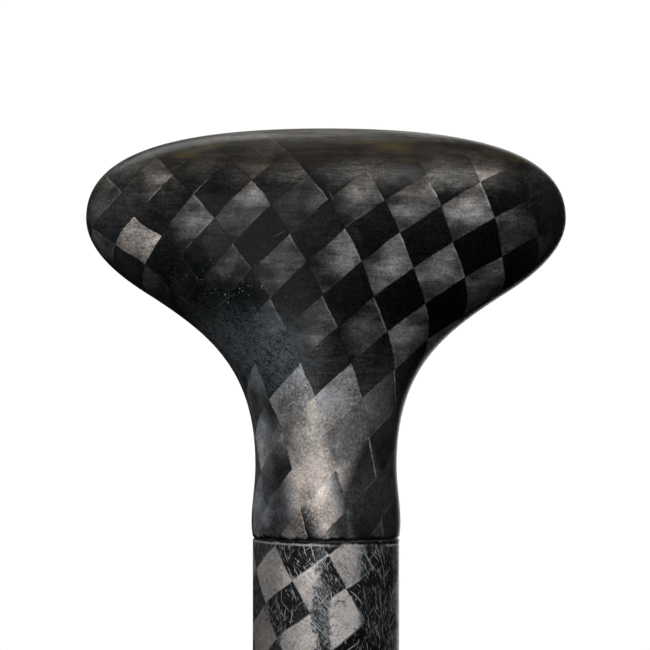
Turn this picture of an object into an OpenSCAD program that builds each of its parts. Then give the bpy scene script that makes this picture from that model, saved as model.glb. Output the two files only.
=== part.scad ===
// Single blade paddle: a moulded palm grip and a moulded blade, both bonded to a carbon shaft.
// Lengths are in millimetres. The shaft runs along Z, with the grip above it and the blade below.
// X runs across the grip and across the blade. The power face of the blade looks towards -Y.
// The origin is on the shaft's axis, where the top end of the shaft meets the grip.

/* [Overall] */
// Length from the top of the grip to the tip of the blade
paddle_length = 1270; // [1180:5:1400]

/* [Grip] */
// Width across the grip
grip_width = 95; // [88:1:104]
// Height of the grip above the end of the shaft
grip_height = 81.2; // [78:0.2:88]
// Depth of the grip's head, front to back
grip_depth = 34; // [30:1:38]
// Diameter of the narrowest part of the grip's neck
waist_diameter = 28; // [28:0.2:30]
// Wall of the two grip shells
grip_wall = 1; // [0.8:0.1:1]

/* [Shaft] */
// Outside diameter of the shaft over its woven sleeve
shaft_diameter = 29; // [28.6:0.2:30]
// Thickness of the woven outer sleeve
sleeve_wall = 0.3; // [0.2:0.05:0.5]
// Thickness of the structural tube under the sleeve
tube_wall = 1.2; // [0.8:0.1:1.4]

/* [Joints] */
// Open gap in the seam between the shaft and a moulding, filled with adhesive
seam_gap = 0.5; // [0.3:0.1:0.8]
// How far the adhesive sits below the surface in the seam
seam_depth = 0.2; // [0.1:0.05:0.4]
// Thickness of the adhesive around a spigot
bond = 0.2; // [0.15:0.05:0.3]
// Wall of a spigot
spigot_wall = 1.8; // [1.2:0.2:2.4]
// Length of a spigot inside the shaft
spigot_in_shaft = 45; // [30:1:60]
// Length of a spigot inside a moulding
spigot_in_moulding = 25; // [18:1:26]

/* [Blade] */
// Length of the blade moulding measured along it, neck included
blade_length = 470; // [450:5:500]
// Width of the blade at its widest
blade_width = 236; // [210:2:250]
// Angle between the blade and the shaft, in degrees
blade_angle = 10; // [4:1:14]
// Thickness of the blade at its edge
edge_thickness = 3.2; // [2.8:0.2:4]
// Thickness of one skin on the blade
skin_wall = 0.8; // [0.6:0.1:1]
// Width of the solid rail around the edge
edge_width = 4; // [3:0.5:6]
// How far the edges are swept back from the middle of the power face
dihedral = 3; // [0:0.5:6]

/* [Hidden] */
$fn = 96;

// Shaft radii, from the outside in
shaft_r = shaft_diameter / 2;
tube_r = shaft_r - sleeve_wall;
bore_r = tube_r - tube_wall;
spigot_r = bore_r - bond;
spigot_bore_r = spigot_r - spigot_wall;

// Grip: key heights and widths
grip_half = grip_width / 2;
waist_r = waist_diameter / 2;
waist_z = 0.18 * grip_height;
flare_z = 0.5875 * grip_height;
flare_half = 0.72 * grip_half;
widest_z = 0.781 * grip_height;
deepest_z = 0.715 * grip_height;
waist_power = 2;
head_power = 2.2;
crown_power = 2.3;
slope_step = 0.01;

// Grip outline as half width and height, in four curves from the seam to the crown
neck_curve = [[shaft_r, seam_gap], [1.055 * shaft_r, 0.055 * grip_height],
    [waist_r, 0.117 * grip_height], [waist_r, waist_z]];
flare_curve = [[waist_r, waist_z], [waist_r, 0.408 * grip_height],
    [0.477 * grip_half, 0.495 * grip_height], [flare_half, flare_z]];
shoulder_curve = [[flare_half, flare_z], [0.792 * grip_half, 0.6145 * grip_height],
    [grip_half, 0.685 * grip_height], [grip_half, widest_z]];
crown_curve = [[grip_half, widest_z], [grip_half, 0.943 * grip_height],
    [0.625 * grip_half, grip_height], [0, grip_height]];
neck_steps = 4;
flare_steps = 7;
shoulder_steps = 5;
crown_steps = 11;
crown_last = 0.97;
grip_segments = 22;

// Blade: lengths along its centre line, measured from the end of the shaft
neck_end = 30;
bend_end = 100;
flat_end = 140;
blade_half = blade_width / 2;
widest_s = 0.68 * blade_length;
throat_s = 0.277 * blade_length;
swell_s = 0.351 * blade_length;
tip_swell_s = 0.883 * blade_length;
tip_half = 0.61 * blade_half;
plate_start = 3.6;
plate_end = 2.2;
edge_half = edge_thickness / 2;
neck_power = 2;
plate_power = 4;
column_power = 1.6;
power_rise = 2.5;
back_rise = 6;
ridge_width = 13;
ridge_start = 90;
ridge_fade = 150;
ridge_fade_length = 300;
throat_steps = 16;
tip_steps = 12;
blade_columns = 20;
bend_radius = (bend_end - neck_end) / (blade_angle * PI / 180);
blade_drop = neck_end + bend_radius * sin(blade_angle) + (blade_length - bend_end) * cos(blade_angle);

// Shaft length left between the grip and the blade
shaft_length = paddle_length - grip_height - blade_drop;

// Blade outline as half width and distance along the blade, in two curves
throat_curve = [[shaft_r, neck_end], [shaft_r, throat_s], [blade_half, swell_s], [blade_half, widest_s]];
tip_curve = [[blade_half, widest_s], [blade_half, tip_swell_s], [tip_half, blade_length], [0, blade_length]];

// Spine and foam inside the blade, counted in columns from the middle
middle = blade_columns / 2;
spine_columns = 2;
glue_line = 0.08;

function bezier(c, u) = pow(1 - u, 3) * c[0] + 3 * pow(1 - u, 2) * u * c[1]
    + 3 * (1 - u) * pow(u, 2) * c[2] + pow(u, 3) * c[3];
function heading(c, u) = let (d = pow(1 - u, 2) * (c[1] - c[0]) + 2 * (1 - u) * u * (c[2] - c[1])
    + pow(u, 2) * (c[3] - c[2])) d / norm(d);
function mix(a, b, t) = a + (b - a) * t;
function smooth(x) = let (t = max(0, min(1, x))) t * t * (3 - 2 * t);

// Station on an outline: half width, position along the part, and the outward direction there
function station(c, u) = let (p = bezier(c, u), d = heading(c, u)) [p[0], p[1], d[1], -d[0]];

grip_stations = concat(
    [for (i = [0:neck_steps - 1]) station(neck_curve, i / neck_steps)],
    [for (i = [0:flare_steps - 1]) station(flare_curve, i / flare_steps)],
    [for (i = [0:shoulder_steps - 1]) station(shoulder_curve, i / shoulder_steps)],
    [for (i = [0:crown_steps]) station(crown_curve, crown_last * i / crown_steps)],
    [station(crown_curve, 1)]);

// Half depth of the grip at height z, where its half width is w
function grip_half_depth(z, w) = z < waist_z ? w
    : z < deepest_z ? mix(waist_r, grip_depth / 2, smooth((z - waist_z) / (deepest_z - waist_z)))
    : grip_depth / 2 * pow(max(0, 1 - pow((z - deepest_z) / (grip_height - deepest_z), crown_power)),
        1 / crown_power);
function grip_power(z) = mix(waist_power, head_power, smooth((z - waist_z) / (flare_z - waist_z)));

// How much of the wall shows in the depth where the depth changes with height
function depth_share(z, w) = let (slope = (grip_half_depth(min(z, grip_height - slope_step) + slope_step, w)
    - grip_half_depth(min(z, grip_height - slope_step), w)) / slope_step) 1 / sqrt(1 + slope * slope);

// Half ring of the grip at station p, inset by an amount, on the front (-1) or the back (1)
function grip_arc(p, inset, side) = let (
        w = max(0, p[0] - inset * p[2]),
        t = max(0, grip_half_depth(p[1], p[0]) - inset * depth_share(p[1], p[0])),
        z = p[1] == grip_stations[0][1] ? p[1] : p[1] - inset * p[3],
        e = 2 / grip_power(p[1]))
    [for (j = [0:grip_segments]) let (a = 180 * j / grip_segments)
        [w * sign(cos(a)) * pow(abs(cos(a)), e), side * t * pow(abs(sin(a)), e), z]];

function reversed(v) = [for (i = [len(v) - 1:-1:0]) v[i]];

// Solid through rings that each hold an outer row of points and then an inner row, running back
module loft(rings, flip = false) {
    m = len(rings[0]);
    last = (len(rings) - 1) * m;
    points = [for (r = rings) for (p = r) p];
    sides = [for (r = [0:len(rings) - 2]) for (j = [0:m - 1])
        let (a = r * m + j, b = r * m + (j + 1) % m) each [[a, b, b + m], [a, b + m, a + m]]];
    ends = [for (j = [0:m / 2 - 2]) let (k = m - 1 - j) each [
        [k, k - 1, j + 1], [k, j + 1, j],
        [last + j, last + j + 1, last + k - 1], [last + j, last + k - 1, last + k]]];
    whole = [for (f = concat(sides, ends))
        if (points[f[0]] != points[f[1]] && points[f[1]] != points[f[2]] && points[f[2]] != points[f[0]]) f];
    polyhedron(points, flip ? [for (f = whole) reversed(f)] : whole);
}

module grip_half_shell(side) {
    loft([for (p = grip_stations) concat(grip_arc(p, 0, side), reversed(grip_arc(p, grip_wall, side)))],
        side > 0);
}

// Ring turned about Z, between two radii and two heights
module tube(outer, inner, from, to) {
    translate([0, 0, from])
        difference() {
            cylinder(r = outer, h = to - from);
            translate([0, 0, -1])
                cylinder(r = inner, h = to - from + 2);
        }
}

// Adhesive around a spigot, with the ring that fills the seam between shaft and moulding
module seam_adhesive() {
    rotate_extrude()
        polygon([[spigot_r, -spigot_in_shaft], [bore_r, -spigot_in_shaft], [bore_r, 0],
            [shaft_r - seam_depth, 0], [shaft_r - seam_depth, seam_gap], [bore_r - glue_line, seam_gap],
            [bore_r - glue_line, spigot_in_moulding], [spigot_r, spigot_in_moulding]]);
}

module grip_front_shell() {
    color("#2b2b2e") grip_half_shell(-1);
}

module grip_back_shell() {
    color("#2b2b2e") grip_half_shell(1);
}

// Foam inside the grip's head, from just above the spigot to the inside of the crown
module grip_foam_core() {
    filled = [for (p = grip_stations) if (p[1] > spigot_in_moulding + 1) p];
    color("#d8cfa8")
        loft([for (p = filled) concat(grip_arc(p, grip_wall, -1), reversed(grip_arc(p, grip_wall, 1)))]);
}

module grip_spigot() {
    color("#3a3a3c") tube(spigot_r, spigot_bore_r, -spigot_in_shaft, spigot_in_moulding);
}

module grip_spigot_plug() {
    color("#d8cfa8")
        translate([0, 0, -spigot_in_shaft])
            cylinder(r = spigot_bore_r, h = spigot_in_moulding);
}

module grip_adhesive() {
    color("#141414") seam_adhesive();
}

module shaft_tube() {
    color("#303033") tube(tube_r, bore_r, -shaft_length, 0);
}

module shaft_weave_sleeve() {
    color("#4a4748") tube(shaft_r, tube_r, -shaft_length, 0);
}

// Turns a piece drawn for the top seam over to the seam at the blade
module at_blade_seam() {
    translate([0, 0, -shaft_length]) mirror([0, 0, 1]) children();
}

module blade_spigot() {
    color("#3a3a3c") at_blade_seam() tube(spigot_r, spigot_bore_r, -spigot_in_shaft, spigot_in_moulding);
}

module blade_spigot_plug() {
    color("#d8cfa8")
        at_blade_seam()
            translate([0, 0, -spigot_in_shaft])
                cylinder(r = spigot_bore_r, h = spigot_in_moulding);
}

module blade_adhesive() {
    color("#141414") at_blade_seam() seam_adhesive();
}

// Blade sections change from the round neck to the flat plate
function flatness(s) = smooth((s - neck_end) / (flat_end - neck_end));
function plate_half(s) = mix(plate_start, plate_end, max(0, s - flat_end) / (blade_length - flat_end));
function swell(s) = mix(shaft_r, plate_half(s), flatness(s));
function ridge(s) = smooth((s - neck_end) / ridge_start) * (1 - smooth((s - ridge_fade) / ridge_fade_length));
function side_rise(side) = side < 0 ? power_rise : back_rise;
function skin_at(s) = mix(shaft_r - bore_r, skin_wall, flatness(s));
function inner_half(b, s) = b - skin_at(s) * (1 - flatness(s));

// Half thickness at x on one side, outside (inset 0) or under the skin (inset 1), q being x over the half width
function half_thickness(x, q, s, side, inset) = let (
        edge = (edge_half - inset * skin_wall) * flatness(s),
        body = swell(s) - inset * skin_at(s))
    edge + (body - edge) * sqrt(max(0, 1 - pow(min(1, abs(q)), mix(neck_power, plate_power, flatness(s)))))
        + side_rise(side) * ridge(s) * exp(-pow(x / ridge_width, 2)) * (1 - min(1, q * q));

// Position in space of a point at x across, y through and s along the bent blade
function on_blade(x, y, s) = let (
        turn = blade_angle * max(0, min(1, (s - neck_end) / (bend_end - neck_end))),
        before = min(s, neck_end),
        after = max(0, s - bend_end),
        t = y + dihedral * pow(x / blade_half, 2) * flatness(s),
        along = bend_radius * (1 - cos(turn)) + after * sin(turn),
        down = before + bend_radius * sin(turn) + after * cos(turn))
    [x, along + t * cos(turn), -shaft_length - down + t * sin(turn)];

blade_stations = concat(
    [[shaft_r, seam_gap, 1, 0]],
    [for (i = [0:throat_steps - 1]) station(throat_curve, i / throat_steps)],
    [for (i = [0:tip_steps]) station(tip_curve, i / tip_steps)]);

// Column positions across a section, as a share of the half width
function column(j, p) = let (t = 2 * j / blade_columns - 1) p[0] == 0 ? 1
    : mix(sin(90 * t), sign(t) * pow(abs(t), column_power), flatness(p[1]));

function skin_point(p, j, side, inset, gap) = let (
        b = inset > 0 ? inner_half(p[0], p[1]) : p[0],
        q = column(j, p))
    on_blade(b * q, side * (half_thickness(b * q, q, p[1], side, inset) - gap), p[1]);
function skin_row(p, side, inset) = [for (j = [0:blade_columns]) skin_point(p, j, side, inset, 0)];

module blade_skin(side) {
    loft([for (p = blade_stations) concat(skin_row(p, side, 0), reversed(skin_row(p, side, 1)))], side > 0);
}

module blade_power_skin() {
    color("#2b2b2e") blade_skin(-1);
}

module blade_back_skin() {
    color("#2b2b2e") blade_skin(1);
}

// Point against the inside of a skin, counting columns outwards from the middle, on the right (1) or left (-1)
function inside_point(p, c, hand, side) = skin_point(p, middle + hand * c, side, 1, glue_line);

// Share of the last column that the edge rail takes up
function rail_share(p) = p[0] == 0 ? 2 : edge_width / max(0.01, p[2])
    / (inner_half(p[0], p[1]) * (1 - column(2 * middle - 1, p)));
function rail_inner(p, hand, side) =
    mix(inside_point(p, middle, hand, side), inside_point(p, middle - 1, hand, side), rail_share(p));

filled_stations = [for (p = blade_stations) if (p[1] > spigot_in_moulding + 1 && rail_share(p) < 1) p];
rail_stations = [for (p = filled_stations) if (p[1] > neck_end) p];
rail_end = rail_stations[len(rail_stations) - 1];
tip_stations = [for (p = blade_stations) if (p[1] > rail_end[1]) p];

module blade_spine() {
    color("#c9bd93")
        loft([for (p = filled_stations) concat(
            [for (c = [-spine_columns:spine_columns]) inside_point(p, c, 1, -1)],
            [for (c = [spine_columns:-1:-spine_columns]) inside_point(p, c, 1, 1)])]);
}

// Foam between the spine and the edge rail
function core_row(p, hand, side) = concat(
    [for (c = [spine_columns:middle - 1]) inside_point(p, c, hand, side)],
    [rail_inner(p, hand, side)]);

module blade_core(hand) {
    color("#e0d8b5")
        loft([for (p = rail_stations) concat(core_row(p, hand, -1), reversed(core_row(p, hand, 1)))], hand < 0);
}

module blade_core_left() {
    blade_core(-1);
}

module blade_core_right() {
    blade_core(1);
}

// Four corners of the edge rail at station p on the right (1) or left (-1), along the blade's side
function rail_ring(p, hand) = [
    inside_point(p, middle, hand, -1), rail_inner(p, hand, -1),
    rail_inner(p, hand, 1), inside_point(p, middle, hand, 1)];

// The same around the tip, the inner corners crossing over the blade a share of the way to the middle
function tip_inner(share, hand, side) =
    mix(rail_inner(rail_end, hand, side), inside_point(rail_end, 0, hand, side), share);
function tip_ring(i, hand) = let (p = tip_stations[i], share = (i + 1) / len(tip_stations)) [
    inside_point(p, middle, hand, -1), tip_inner(share, hand, -1),
    tip_inner(share, hand, 1), inside_point(p, middle, hand, 1)];

module blade_edge_rail() {
    color("#1c1c1e")
        loft(concat(
            [for (p = rail_stations) rail_ring(p, 1)],
            [for (i = [0:len(tip_stations) - 1]) tip_ring(i, 1)],
            [for (i = [len(tip_stations) - 2:-1:0]) tip_ring(i, -1)],
            [for (p = reversed(rail_stations)) rail_ring(p, -1)]));
}

grip_front_shell();
grip_back_shell();
grip_foam_core();
grip_spigot();
grip_spigot_plug();
grip_adhesive();
shaft_tube();
shaft_weave_sleeve();
blade_spigot();
blade_spigot_plug();
blade_adhesive();
blade_power_skin();
blade_back_skin();
blade_spine();
blade_core_left();
blade_core_right();
blade_edge_rail();
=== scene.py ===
import math

import bmesh
import bpy
import numpy as np
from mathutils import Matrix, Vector


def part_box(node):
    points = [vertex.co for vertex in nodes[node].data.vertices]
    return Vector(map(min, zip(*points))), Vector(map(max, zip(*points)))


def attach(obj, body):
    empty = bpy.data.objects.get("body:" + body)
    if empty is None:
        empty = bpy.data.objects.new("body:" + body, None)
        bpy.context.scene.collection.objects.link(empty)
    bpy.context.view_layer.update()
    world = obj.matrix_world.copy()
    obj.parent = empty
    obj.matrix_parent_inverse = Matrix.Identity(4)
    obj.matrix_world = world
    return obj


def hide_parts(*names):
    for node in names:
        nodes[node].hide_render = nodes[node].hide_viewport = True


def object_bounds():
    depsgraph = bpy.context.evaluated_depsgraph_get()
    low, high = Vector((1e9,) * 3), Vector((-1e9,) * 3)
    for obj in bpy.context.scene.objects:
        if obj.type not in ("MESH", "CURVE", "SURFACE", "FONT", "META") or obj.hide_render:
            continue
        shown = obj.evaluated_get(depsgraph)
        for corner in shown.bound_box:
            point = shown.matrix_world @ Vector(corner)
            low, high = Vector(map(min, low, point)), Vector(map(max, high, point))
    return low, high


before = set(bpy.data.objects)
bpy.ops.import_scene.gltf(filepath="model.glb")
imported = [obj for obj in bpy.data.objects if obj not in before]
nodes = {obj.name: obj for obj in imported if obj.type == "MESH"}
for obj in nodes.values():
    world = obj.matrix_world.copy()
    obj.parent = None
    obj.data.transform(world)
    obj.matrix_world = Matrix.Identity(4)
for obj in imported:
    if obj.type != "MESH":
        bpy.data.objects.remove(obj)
cad_low, cad_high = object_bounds()

# ---------------------------------------------------------------- sizes, in metres
MM = 0.001
sleeve_low, sleeve_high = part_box("shaft_weave_sleeve")
grip_low, grip_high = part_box("grip_front_shell")
_, tip_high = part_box("blade_power_skin")
SHAFT_R = sleeve_high.x
SHAFT_LENGTH = sleeve_high.z - sleeve_low.z
GRIP_HEIGHT = grip_high.z
GRIP_HALF = grip_high.x
GRIP_DEPTH = -2 * grip_low.y
SEAM_GAP = grip_low.z
GRIP_WALL = 1.0 * MM
SLEEVE_WALL = 0.3 * MM
SEAM_DEPTH = 0.2 * MM
WAIST_R = 14.0 * MM
WAIST_Z = 0.18 * GRIP_HEIGHT
FLARE_Z = 0.5875 * GRIP_HEIGHT
FLARE_HALF = 0.72 * GRIP_HALF
WIDEST_Z = 0.781 * GRIP_HEIGHT
DEEPEST_Z = 0.715 * GRIP_HEIGHT
SHARP_ANGLE = math.radians(40)
HEAD_POWER = 2.2
CROWN_POWER = 2.3

BLADE_HALF = tip_high.x
BLADE_LENGTH = 470 * MM
NECK_END = 30 * MM
BEND_END = 100 * MM
FLAT_END = 140 * MM
BLADE_ANGLE = math.radians(10)
BEND_RADIUS = (BEND_END - NECK_END) / BLADE_ANGLE
EDGE_HALF = 1.6 * MM
SKIN_WALL = 0.8 * MM
NECK_WALL = 1.5 * MM
DIHEDRAL = 3 * MM
EDGE_WIDTH = 4 * MM
PLATE_HALF_TOP, PLATE_HALF_TIP = 3.6 * MM, 2.2 * MM
RIDGE_HALF_WIDTH = 13 * MM
RIDGE_FRONT, RIDGE_BACK = 2.5 * MM, 6.0 * MM
RIDGE_RISE_LENGTH = 90 * MM
RIDGE_FADE_START, RIDGE_FADE_LENGTH = 150 * MM, 300 * MM

# how finely the pieces are divided
GRIP_STEPS, GRIP_COLUMNS = (14, 26, 20, 46), 96
SHAFT_RINGS, SHAFT_COLUMNS, SEAM_COLUMNS = 90, 160, 180
NECK_STEPS, THROAT_STEPS, TIP_STEPS, RAIL_TIP_STEPS, BLADE_COLUMNS = 8, 90, 50, 60, 80


# ---------------------------------------------------------------- curves and sections
def bezier(c, u):
    """The point at u on the curve with the four control points c."""
    return ((1 - u) ** 3 * c[0] + 3 * (1 - u) ** 2 * u * c[1]
            + 3 * (1 - u) * u ** 2 * c[2] + u ** 3 * c[3])


def heading(c, u):
    """The direction of the same curve at u."""
    d = (1 - u) ** 2 * (c[1] - c[0]) + 2 * (1 - u) * u * (c[2] - c[1]) + u ** 2 * (c[3] - c[2])
    return d / np.linalg.norm(d)


def smooth(x):
    t = np.clip(x, 0, 1)
    return t * t * (3 - 2 * t)


def mix(a, b, t):
    return a + (b - a) * t


def signed_power(v, p):
    return np.sign(v) * np.abs(v) ** p


# half width and height along the grip's outline: neck, flare, shoulder and crown
GRIP_CURVES = [np.array(c) for c in (
    [(SHAFT_R, SEAM_GAP), (1.055 * SHAFT_R, 0.055 * GRIP_HEIGHT), (WAIST_R, 0.117 * GRIP_HEIGHT),
     (WAIST_R, WAIST_Z)],
    [(WAIST_R, WAIST_Z), (WAIST_R, 0.408 * GRIP_HEIGHT), (0.477 * GRIP_HALF, 0.495 * GRIP_HEIGHT),
     (FLARE_HALF, FLARE_Z)],
    [(FLARE_HALF, FLARE_Z), (0.792 * GRIP_HALF, 0.6145 * GRIP_HEIGHT), (GRIP_HALF, 0.685 * GRIP_HEIGHT),
     (GRIP_HALF, WIDEST_Z)],
    [(GRIP_HALF, WIDEST_Z), (GRIP_HALF, 0.943 * GRIP_HEIGHT), (0.625 * GRIP_HALF, GRIP_HEIGHT),
     (0, GRIP_HEIGHT)],
)]


def grip_half_depth(z, half_width):
    """Half the grip's depth, front to back, at height z."""
    if z < WAIST_Z:
        return half_width
    if z < DEEPEST_Z:
        return mix(WAIST_R, GRIP_DEPTH / 2, smooth((z - WAIST_Z) / (DEEPEST_Z - WAIST_Z)))
    rise = (z - DEEPEST_Z) / (GRIP_HEIGHT - DEEPEST_Z)
    return GRIP_DEPTH / 2 * max(0.0, 1 - rise ** CROWN_POWER) ** (1 / CROWN_POWER)


def grip_power(z):
    """The power of the grip's section: 2 is an ellipse, and more is squarer."""
    return mix(2, HEAD_POWER, smooth((z - WAIST_Z) / (FLARE_Z - WAIST_Z)))


def grip_outline(steps):
    """Stations of the grip: half width, height and the outward direction, from the seam to the crown."""
    out = []
    for curve, count, ease in zip(GRIP_CURVES, steps, (1, 1, 1, 1.25)):
        for i in range(count):
            u = 1 - (1 - i / count) ** ease
            p, d = bezier(curve, u), heading(curve, u)
            out.append((p[0], p[1], d[1], -d[0]))
    return out + [(0.0, GRIP_HEIGHT, 0.0, 1.0)]


# ---------------------------------------------------------------- meshes
def make_object(name, verts, faces, weave, lie):
    """A smooth mesh that carries, at each face corner, how its cloth lies."""
    mesh = bpy.data.meshes.new(name)
    mesh.from_pydata(np.asarray(verts, dtype=float).tolist(), [], faces)
    for label, values in (("weave", weave), ("lie", lie)):
        flat = np.asarray(values, dtype=np.float32).reshape(-1, 2)
        layer = mesh.attributes.new(label, "FLOAT_VECTOR", "CORNER")
        layer.data.foreach_set("vector", np.pad(flat, ((0, 0), (0, 1))).ravel())
    bm = bmesh.new()
    bm.from_mesh(mesh)
    bmesh.ops.remove_doubles(bm, verts=bm.verts, dist=1e-7)
    bmesh.ops.recalc_face_normals(bm, faces=bm.faces)
    bm.to_mesh(mesh)
    bm.free()
    mesh.polygons.foreach_set("use_smooth", [True] * len(mesh.polygons))
    mesh.set_sharp_from_angle(angle=SHARP_ANGLE)
    mesh.update()
    obj = bpy.data.objects.new(name, mesh)
    bpy.context.collection.objects.link(obj)
    return obj


def sheet_object(name, outer, inner, weave, lie):
    """A closed thin shell between two grids of points, joined along their borders."""
    rows, cols = outer.shape[:2]
    count = rows * cols
    grid = np.arange(count).reshape(rows, cols)
    low, high = grid[:-1], grid[1:]
    top = np.stack([low[:, :-1], low[:, 1:], high[:, 1:], high[:, :-1]], axis=-1).reshape(-1, 4)
    faces = [top, count + top[:, ::-1]]
    border = [grid[0], grid[:, -1], grid[-1][::-1], grid[::-1, 0]]
    for line in border:
        a, b = line[:-1], line[1:]
        faces.append(np.stack([b, a, count + a, count + b], axis=-1))
    faces = np.concatenate(faces)
    corners = faces.ravel() % count
    return make_object(name, np.concatenate([outer.reshape(-1, 3), inner.reshape(-1, 3)]), faces.tolist(),
                       weave.reshape(-1, 2)[corners], lie.reshape(-1, 2)[corners])


def lathe(name, profile, segments, cloth, radius_of=None):
    """Turns a closed profile of (radius, height) about Z, with its join at the back."""
    count = len(profile)
    angles = np.linspace(-math.pi, math.pi, segments + 1)
    verts, lie = [], []
    for a in angles:
        for r, z in profile:
            if radius_of is not None:
                r = radius_of(r, a)
            verts.append((r * math.sin(a), -r * math.cos(a), z))
            lie.append((a * SHAFT_R / MM, z / MM))
    ring = np.arange(count)
    after = (ring + 1) % count
    strip = np.stack([ring, count + ring, count + after, after], axis=-1)
    faces = np.concatenate([k * count + strip for k in range(segments)])
    lie = np.array(lie)
    weave = np.array([cloth(*p) for p in lie])
    corners = faces.ravel()
    return make_object(name, verts, faces.tolist(), weave[corners], lie[corners])


# ---------------------------------------------------------------- how the cloth lies
# Tows cross in a lattice: each piece carries (a, b), and a cell is one step of each.
def grip_drape(across, along):
    """The cloth draped over the grip, from the distances across and along its face, in mm."""
    p, q = across / 40, (along - 45) / 40
    a = 1.43 + 3.98 * p - 4.44 * q - 0.80 * p * p - 0.23 * p * q - 0.18 * q * q
    b = -2.09 + 3.92 * p + 1.75 * q + 0.44 * p * p - 0.81 * p * q + 0.35 * q * q
    # near the end of one wing the cloth is pulled out square
    pull = smooth((-27 - across) / 8) * smooth((69 - along) / 8)
    side, up = across + 37.5, along - 59
    return a + pull * (0.03 * up - 0.03 * side), b + pull * (0.06 * up + 0.01 * side - 0.04)


def lattice(step_a, step_b, start):
    """Lattice coordinates on an unrolled surface, from the two cell edges in mm."""
    inverse = np.linalg.inv(np.array([[step_a[0], step_b[0]], [step_a[1], step_b[1]]]))

    def at(across, along):
        c = inverse @ np.array([across - start[0], along - start[1]])
        return c[0], c[1]
    return at


# The sleeve closes on itself after 7 steps one way and 9 the other.
TURN = 2 * math.pi * SHAFT_R / MM
step_b = np.array([7.1, 5.1])
step_a = np.array([(TURN - 9 * step_b[0]) / 7, -9 * step_b[1] / 7])
shaft_lattice = lattice(step_a, step_b, (0.2, -2.3))
blade_lattice = lattice((5.9, -5.9), (5.9, 5.9), (0.0, 3.0))


def arc_from_middle(points):
    """Signed length along a row of points, from its middle one."""
    steps = np.linalg.norm(np.diff(points, axis=0), axis=1)
    total = np.concatenate([[0], np.cumsum(steps)])
    return total - total[len(points) // 2]


# ---------------------------------------------------------------- grip
def grip_lean(z, half_width):
    """How much of a wall's thickness goes front to back where the grip's face leans, at height z."""
    step = 0.01 * MM
    z = min(z, GRIP_HEIGHT - step)
    slope = (grip_half_depth(z + step, half_width) - grip_half_depth(z, half_width)) / step
    return 1 / math.sqrt(1 + slope * slope)


def make_grip(side, name):
    """One half of the grip, from the seam to the crown; side is -1 at the front and 1 at the back."""
    angles = np.linspace(0, math.pi, GRIP_COLUMNS + 1)
    outer, inner, lie = [], [], []
    along, last_z, last_depth = 0.0, 0.0, SHAFT_R
    for width, z, out_x, out_z in grip_outline(GRIP_STEPS):
        depth, power = grip_half_depth(z, width), 2 / grip_power(z)
        along += math.hypot(z - last_z, depth - last_depth)
        last_z, last_depth = z, depth
        x = signed_power(np.cos(angles), power)
        y = side * np.abs(np.sin(angles)) ** power
        row = np.stack([-width * x, depth * y, np.full_like(x, z)], axis=1)
        inner_width = max(0, width - GRIP_WALL * out_x)
        inner_depth = max(0, depth - GRIP_WALL * grip_lean(z, width))
        inner_z = z if z == SEAM_GAP else z - GRIP_WALL * out_z
        inner.append(np.stack([-inner_width * x, inner_depth * y, np.full_like(x, inner_z)], axis=1))
        outer.append(row)
        arc = arc_from_middle(row) / MM
        facing = arc if side < 0 else -arc
        lie.append([(across, along / MM) for across in facing])
    lie = np.array(lie)
    weave = np.stack(grip_drape(lie[..., 0], lie[..., 1]), axis=-1)
    obj = sheet_object(name, np.array(outer), np.array(inner), weave, lie)
    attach(obj, "root")
    return obj


grip_front = make_grip(-1, "grip_front_skin")
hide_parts("grip_front_shell")
grip_back = make_grip(1, "grip_back_skin")
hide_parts("grip_back_shell")


# ---------------------------------------------------------------- shaft
def make_shaft():
    """The woven sleeve, with its ends bevelled."""
    bevel, r = 0.12 * MM, SHAFT_R
    top, low = 0.0, -SHAFT_LENGTH
    inside = r - SLEEVE_WALL
    profile = [(inside, top), (r - bevel, top), (r - bevel * 0.3, top - bevel * 0.3), (r, top - bevel)]
    profile += [(r, mix(top - bevel, low + bevel, i / SHAFT_RINGS)) for i in range(1, SHAFT_RINGS)]
    profile += [(r, low + bevel), (r - bevel * 0.3, low + bevel * 0.3), (r - bevel, low), (inside, low)]
    obj = lathe("shaft_skin", profile[::-1], SHAFT_COLUMNS, shaft_lattice)
    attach(obj, "root")
    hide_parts("shaft_weave_sleeve")
    return obj


shaft = make_shaft()


# ---------------------------------------------------------------- adhesive in the two seams
# how thick the ring is, how far it stands out at its edges, how far it lies back beside and at its
# middle, and how far it wavers
SEAM_RING = 1.5 * MM
SEAM_LIP, SEAM_SHOULDER, SEAM_HOLLOW, SEAM_WAVE = 0.06 * MM, 0.02 * MM, 0.05 * MM, 0.035 * MM


def make_seam(name, node, low, high):
    """A ring of squeezed-out adhesive, a little uneven round the seam."""
    r, deep = SHAFT_R - SEAM_DEPTH, SHAFT_R - SEAM_RING
    mid, half = (low + high) / 2, (high - low) / 2

    def uneven(radius, a):
        if radius < deep + 0.01 * MM:
            return radius
        wave = math.sin(3 * a + 0.7) + 0.6 * math.sin(7 * a + 2.1) + 0.4 * math.sin(17 * a)
        return radius + SEAM_WAVE * wave

    profile = [(deep, low), (r + SEAM_LIP, low), (r - SEAM_SHOULDER, mid - 0.5 * half),
               (r - SEAM_HOLLOW, mid), (r - SEAM_SHOULDER, mid + 0.5 * half), (r + SEAM_LIP, high),
               (deep, high)]
    obj = lathe(name, profile, SEAM_COLUMNS, shaft_lattice, uneven)
    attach(obj, "root")
    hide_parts(node)
    return obj


seam_top = make_seam("seam_bead_grip", "grip_adhesive", 0.0, SEAM_GAP)
seam_low = make_seam("seam_bead_blade", "blade_adhesive", -SHAFT_LENGTH - SEAM_GAP, -SHAFT_LENGTH)


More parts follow.
